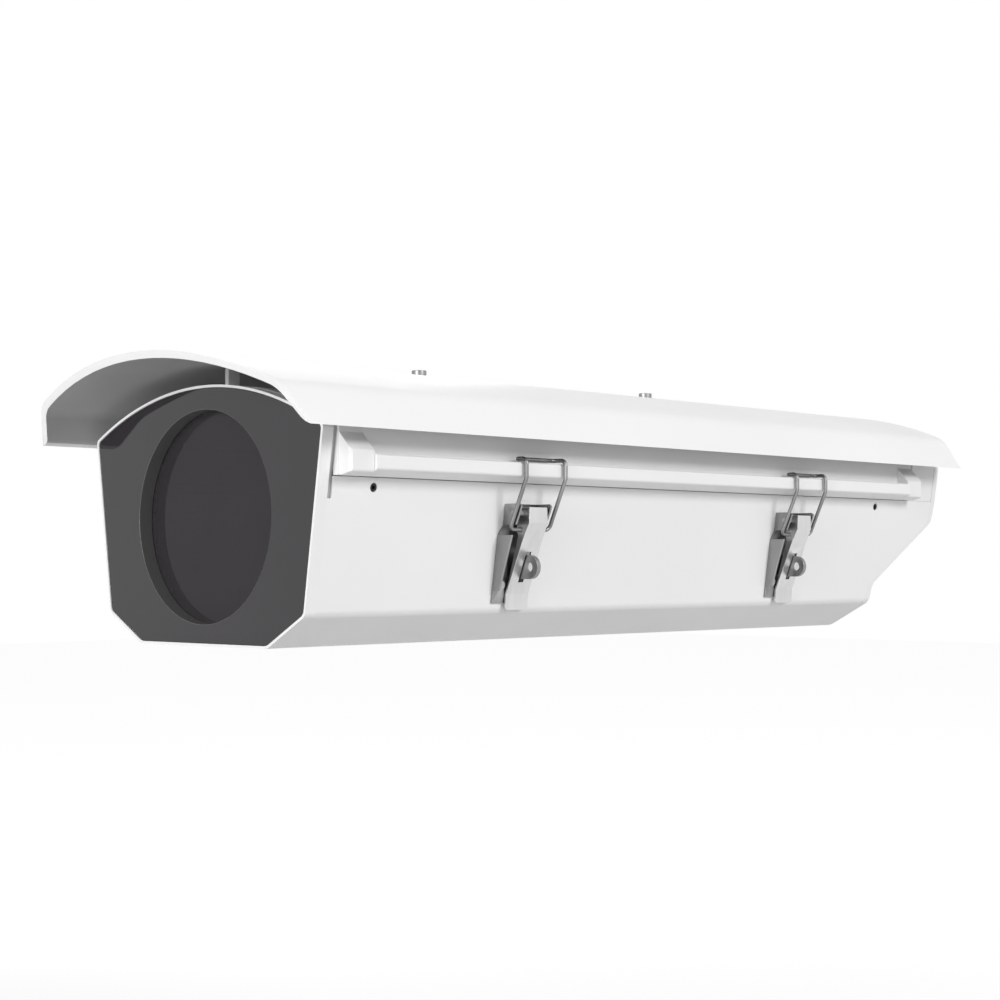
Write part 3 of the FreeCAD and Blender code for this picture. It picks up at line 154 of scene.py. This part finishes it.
LAMP_TARGET = Vector((0.0, 0.0, 0.05))
LAMPS = (
    # name, place, size, and the light it gives on the target as a share of full white
    ("lamp_back", (-1.9, 1.2, 0.62), 1.2, 0.21),
    ("lamp_side", (1.9, 0.25, 0.95), 0.6, 0.45),
    ("lamp_front", (0.3, -2.0, 0.45), 0.9, 0.54),
)


def make_lamps():
    for name, place, size, share in LAMPS:
        aim = LAMP_TARGET - Vector(place)
        data = bpy.data.lights.new(name, "AREA")
        data.size = size
        data.energy = share * (math.pi * aim.length) ** 2
        lamp = bpy.data.objects.new(name, data)
        lamp.location = place
        lamp.rotation_euler = aim.to_track_quat("-Z", "Y").to_euler()
        bpy.context.collection.objects.link(lamp)


# Materials

WINDOW_HEIGHT = 0.054
# A radius that takes in the inner face of the window's collar, which gets painted light, but not the plate
# round it
COLLAR_EDGE = 0.04515
# The span that noise mostly stays in, and the span of the edge measure that gets the painted edge highlight
NOISE_SPAN = (0.3, 0.7)
HIGHLIGHT_EDGE_SPAN = (0.52, 0.62)
TONE_DETAIL = 4.0
GLOSS_DETAIL = 3.0
GRAIN_DETAIL = 2.0


def grey(value, plum=0.0):
    """A linear colour from an sRGB level of 0 to 255, with a share of plum tint."""
    level = value / 255.0
    linear = level / 12.92 if level <= 0.04045 else ((level + 0.055) / 1.055) ** 2.4
    return (linear * (1 + plum), linear * (1 - plum), linear * (1 + plum), 1.0)


def noise_node(tree, coordinates, scale, detail, stretch=None):
    """Noise over the coordinates, drawn out along each axis whose stretch is under 1."""
    source = coordinates
    if stretch:
        mapping = tree.nodes.new("ShaderNodeMapping")
        mapping.inputs["Scale"].default_value = stretch
        tree.links.new(coordinates, mapping.inputs["Vector"])
        source = mapping.outputs["Vector"]
    noise = tree.nodes.new("ShaderNodeTexNoise")
    noise.inputs["Scale"].default_value = scale
    noise.inputs["Detail"].default_value = detail
    tree.links.new(source, noise.inputs["Vector"])
    return noise.outputs["Fac"]


def spread(tree, factor, low, high):
    """Noise widened to run from low to high."""
    ranged = tree.nodes.new("ShaderNodeMapRange")
    ranged.inputs["From Min"].default_value, ranged.inputs["From Max"].default_value = NOISE_SPAN
    ranged.inputs["To Min"].default_value = low
    ranged.inputs["To Max"].default_value = high
    tree.links.new(factor, ranged.inputs["Value"])
    return ranged.outputs["Result"]


def blend_colours(tree, factor, first, second):
    mix = tree.nodes.new("ShaderNodeMix")
    mix.data_type = "RGBA"
    for socket, value in (("A", first), ("B", second)):
        if isinstance(value, tuple):
            mix.inputs[socket].default_value = value
        else:
            tree.links.new(value, mix.inputs[socket])
    tree.links.new(factor, mix.inputs["Factor"])
    return mix.outputs["Result"]


def painted_collar_light_share(tree, place):
    """1 inside the window's round opening, where the collar's face gets painted light, 0 on the plate round
    it.
    """
    flat = tree.nodes.new("ShaderNodeVectorMath")
    flat.operation = "MULTIPLY_ADD"
    flat.inputs[1].default_value = (1.0, 0.0, 1.0)
    flat.inputs[2].default_value = (0.0, 0.0, -WINDOW_HEIGHT)
    tree.links.new(place, flat.inputs[0])
    radius = tree.nodes.new("ShaderNodeVectorMath")
    radius.operation = "LENGTH"
    tree.links.new(flat.outputs["Vector"], radius.inputs[0])
    inside = tree.nodes.new("ShaderNodeMath")
    inside.operation = "LESS_THAN"
    inside.inputs[1].default_value = COLLAR_EDGE
    tree.links.new(radius.outputs["Value"], inside.inputs[0])
    return inside.outputs[0]


def surface(name, tones, rough, tone_scale, rough_scale, grain=None, edge=None, stretch=None,
            metallic=0.0, specular=0.5, clear=0.0, ior=1.5, window=None):
    """A shader with slow tone changes, patchy gloss, a fine grain and a painted highlight on sharp edges.

    tones and rough give two ends each; grain is (scale, depth in metres); edge is (colour, share) of a
    painted highlight on sharp edges; window is a lighter colour painted inside the window's opening,
    painted light on a shaded face."""
    material = bpy.data.materials.new(name)
    material.use_nodes = True
    tree = material.node_tree
    shader = tree.nodes["Principled BSDF"]
    shader.inputs["Metallic"].default_value = metallic
    shader.inputs["Specular IOR Level"].default_value = specular
    shader.inputs["Transmission Weight"].default_value = clear
    shader.inputs["IOR"].default_value = ior
    place = tree.nodes.new("ShaderNodeTexCoord").outputs["Object"]
    tone = spread(tree, noise_node(tree, place, tone_scale, TONE_DETAIL, stretch), 0.0, 1.0)
    colour = blend_colours(tree, tone, *tones)
    # Painted highlight: sharp edges, found by pointiness, are blended toward a lighter colour
    if edge:
        edge_highlight, share = edge
        shape = tree.nodes.new("ShaderNodeNewGeometry")
        ramp = tree.nodes.new("ShaderNodeMapRange")
        ramp.inputs["From Min"].default_value, ramp.inputs["From Max"].default_value = HIGHLIGHT_EDGE_SPAN
        ramp.inputs["To Max"].default_value = share
        tree.links.new(shape.outputs["Pointiness"], ramp.inputs["Value"])
        colour = blend_colours(tree, ramp.outputs["Result"], colour, edge_highlight)
    # Painted light: the collar's face inside the window opening gets a lighter colour than the plate,
    # lifting its shade
    if window:
        colour = blend_colours(tree, painted_collar_light_share(tree, place), colour, window)
    tree.links.new(colour, shader.inputs["Base Color"])
    gloss = spread(tree, noise_node(tree, place, rough_scale, GLOSS_DETAIL, stretch), *rough)
    tree.links.new(gloss, shader.inputs["Roughness"])
    if grain:
        scale, depth = grain
        bump = tree.nodes.new("ShaderNodeBump")
        bump.inputs["Distance"].default_value = depth
        bump.inputs["Strength"].default_value = 1.0
        tree.links.new(noise_node(tree, place, scale, GRAIN_DETAIL, stretch), bump.inputs["Height"])
        tree.links.new(bump.outputs["Normal"], shader.inputs["Normal"])
    return material


MATERIALS = {
    "white_coat": surface("powder_coat_white", (grey(243), grey(247)), (0.36, 0.46), 9.0, 45.0,
                          (1400.0, 0.00003)),
    "white_trim": surface("cast_paint_white", (grey(240), grey(245)), (0.34, 0.44), 14.0, 60.0,
                          (1900.0, 0.00003)),
    # The mask's collar face inside the window gets grey(100), painted light that lifts the shade of that
    # recess
    "dark_mask": surface("mask_dark_gloss", (grey(33, 0.08), grey(37, 0.08)), (0.03, 0.06), 20.0, 50.0,
                         (300.0, 0.000001), specular=0.58, window=grey(100)),
    "window": surface("window_glass_tinted", (grey(72, 0.04), grey(76, 0.04)), (0.0, 0.01), 30.0, 40.0,
                      ior=1.2, clear=0.5),
    "rubber": surface("rubber_black", (grey(40), grey(50)), (0.6, 0.75), 80.0, 200.0, (2600.0, 0.00004)),
    "seal_grey": surface("silicone_grey", (grey(176), grey(186)), (0.55, 0.7), 60.0, 180.0,
                         (2200.0, 0.00003)),
    # Stainless and dull steel get lighter sharp edges, a painted highlight
    "stainless": surface("stainless_brushed", (grey(196), grey(212)), (0.28, 0.4), 160.0, 500.0,
                         (900.0, 0.000012), edge=(grey(225), 0.7), stretch=(1.0, 1.0, 0.06), metallic=1.0),
    "steel_dull": surface("steel_dull_grey", (grey(126), grey(144)), (0.3, 0.45), 160.0, 500.0,
                          (900.0, 0.000012), edge=(grey(190), 0.6), stretch=(1.0, 1.0, 0.06), metallic=1.0),
    "dark_screw": surface("steel_dark", (grey(44), grey(58)), (0.35, 0.5), 300.0, 500.0,
                          (1500.0, 0.00001), metallic=0.9),
    "nylon": surface("nylon_black", (grey(38), grey(46)), (0.42, 0.55), 90.0, 160.0, (2400.0, 0.00003)),
    "zinc": surface("zinc_plate", (grey(168), grey(192)), (0.32, 0.46), 60.0, 150.0, (900.0, 0.00001),
                    metallic=0.95),
    "alloy": surface("alloy_mill", (grey(182), grey(198)), (0.34, 0.46), 70.0, 200.0, (1200.0, 0.000012),
                     stretch=(1.0, 0.05, 1.0), metallic=1.0),
}
# Painted shade: a darker grey of the white coat for the sunshield's underside, where shade falls
PAINTED_SHADE_COAT = surface("powder_coat_painted_shade", (grey(170), grey(178)), (0.42, 0.52), 9.0, 45.0,
                    (1400.0, 0.00003))
NODE_SLOTS = {entry["node"]: entry["material_slot"] for entry in frame["record"]["subparts"]}


def dress_nodes():
    for name, item in frame["nodes"].items():
        item.data.materials.clear()
        item.data.materials.append(MATERIALS[NODE_SLOTS[name]])


# Pieces made in mesh code

MERGE_DISTANCE = 0.000002
FLAT_ANGLE = 0.4
# Edges that turn more than the sharp angle, in degrees, are rounded; the levers' bends turn less
SHARP_ANGLE = 28.0
LOW_BEND_ANGLE = 12.0
LOW_BENDS = {"latch_lever_front", "latch_lever_rear"}
EDGE_SEGMENTS = 2
BEND_SEGMENTS = 5
# A sheet's bends run along Y, are at least this long and turn by an angle in this span
LENGTHWISE_SHARE = 0.98
SHORTEST_BEND = 0.0014
BEND_TURNS = (18.0, 75.0)
# Where the sunshield's lower edges end, and which way its hollow side faces
SKIRT_EDGE = 0.0875
HOLLOW_SIDE = Vector((0, 1.2, -1))
HOLLOW_FACING = 0.2
# How wide a round each node's bends get, and its cut edges, in metres
BENDS = {
    "body_tub": 0.0022, "rear_cap": 0.0022, "front_bezel": 0.0016, "window_mask": 0.0014,
    "sunshield": 0.005,
}
ROUNDED = {
    "body_tub": 0.0009, "rear_hood": 0.0009, "front_bezel": 0.0005, "rear_cap": 0.0010, "lid_cover": 0.0006,
    "lid_front_cap": 0.0008, "lid_rear_cap": 0.0008, "sunshield": 0.0008, "shield_post": 0.0006,
    "window_mask": 0.0002, "hinge_leaf_front": 0.0004, "hinge_leaf_rear": 0.0004,
    "latch_base_front": 0.0003, "latch_base_rear": 0.0003,
    "latch_lever_front": 0.0004, "latch_lever_rear": 0.0004,
    "shield_screws": 0.0003, "shield_standoffs": 0.0004,
    "gland_cap_left": 0.0006, "gland_cap_middle": 0.0006, "gland_cap_right": 0.0006,
}


def finish_piece(item, body, slot, *replaced):
    item.data.materials.clear()
    item.data.materials.append(MATERIALS[slot])
    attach(item, body)
    if replaced:
        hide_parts(*replaced)
    return item


def body_of_node(name):
    for body, members in frame["record"]["behaviour"]["bodies"].items():
        if name in members:
            return body
    return "root"


def mark_bends(mesh):
    """Weights the sheet's bends along Y, so that they get a wider round than cut edges."""
    weight = mesh.edges.layers.float.new("bevel_weight_edge")
    for edge in mesh.edges:
        if len(edge.link_faces) != 2:
            continue
        along = edge.verts[1].co - edge.verts[0].co
        turn = math.degrees(edge.calc_face_angle())
        lengthwise = abs(along.y) > LENGTHWISE_SHARE * along.length
        if lengthwise and along.length > SHORTEST_BEND and BEND_TURNS[0] < turn < BEND_TURNS[1]:
            edge[weight] = 1.0


def rounded(name, width, angle, bend):
    """A node's shape with its sharp edges rounded, which then stands for it."""
    source = frame["nodes"][name]
    mesh = bmesh.new()
    mesh.from_mesh(source.data)
    bmesh.ops.remove_doubles(mesh, verts=mesh.verts, dist=MERGE_DISTANCE)
    bmesh.ops.dissolve_limit(mesh, angle_limit=math.radians(FLAT_ANGLE), verts=mesh.verts,
                             edges=mesh.edges)
    if bend:
        mark_bends(mesh)
    data = bpy.data.meshes.new(name + "_round")
    mesh.to_mesh(data)
    mesh.free()
    item = bpy.data.objects.new(name + "_round", data)
    bpy.context.collection.objects.link(item)
    if bend:
        bends = item.modifiers.new("bends", "BEVEL")
        bends.width = bend
        bends.segments = BEND_SEGMENTS
        bends.limit_method = "WEIGHT"
    bevel = item.modifiers.new("bevel", "BEVEL")
    bevel.width = width
    bevel.segments = EDGE_SEGMENTS
    bevel.limit_method = "ANGLE"
    bevel.angle_limit = math.radians(angle)
    bevel.use_clamp_overlap = True
    bevel.harden_normals = True
    weight = item.modifiers.new("weight", "WEIGHTED_NORMAL")
    weight.keep_sharp = True
    for face in data.polygons:
        face.use_smooth = True
    return finish_piece(item, body_of_node(name), NODE_SLOTS[name], name)


def paint_hollow_side_shade(item):
    """Painted shade: the sunshield's hollow side, above its lower edges, gets a darker grey that stands in
    for the shade under it.
    """
    item.data.materials.append(PAINTED_SHADE_COAT)
    for face in item.data.polygons:
        looks_down = face.normal.dot(HOLLOW_SIDE) > HOLLOW_FACING
        if looks_down and face.center.z > SKIRT_EDGE:
            face.material_index = 1


make_camera()
make_world()
make_floor()
make_lamps()
dress_nodes()
for node_name, edge_width in ROUNDED.items():
    least_turn = LOW_BEND_ANGLE if node_name in LOW_BENDS else SHARP_ANGLE
    rounded(node_name, edge_width, least_turn, BENDS.get(node_name, 0.0))
# Paints shade on the sunshield's underside
paint_hollow_side_shade(bpy.data.objects["sunshield_round"])

bpy.context.scene.view_settings.view_transform = "Standard"
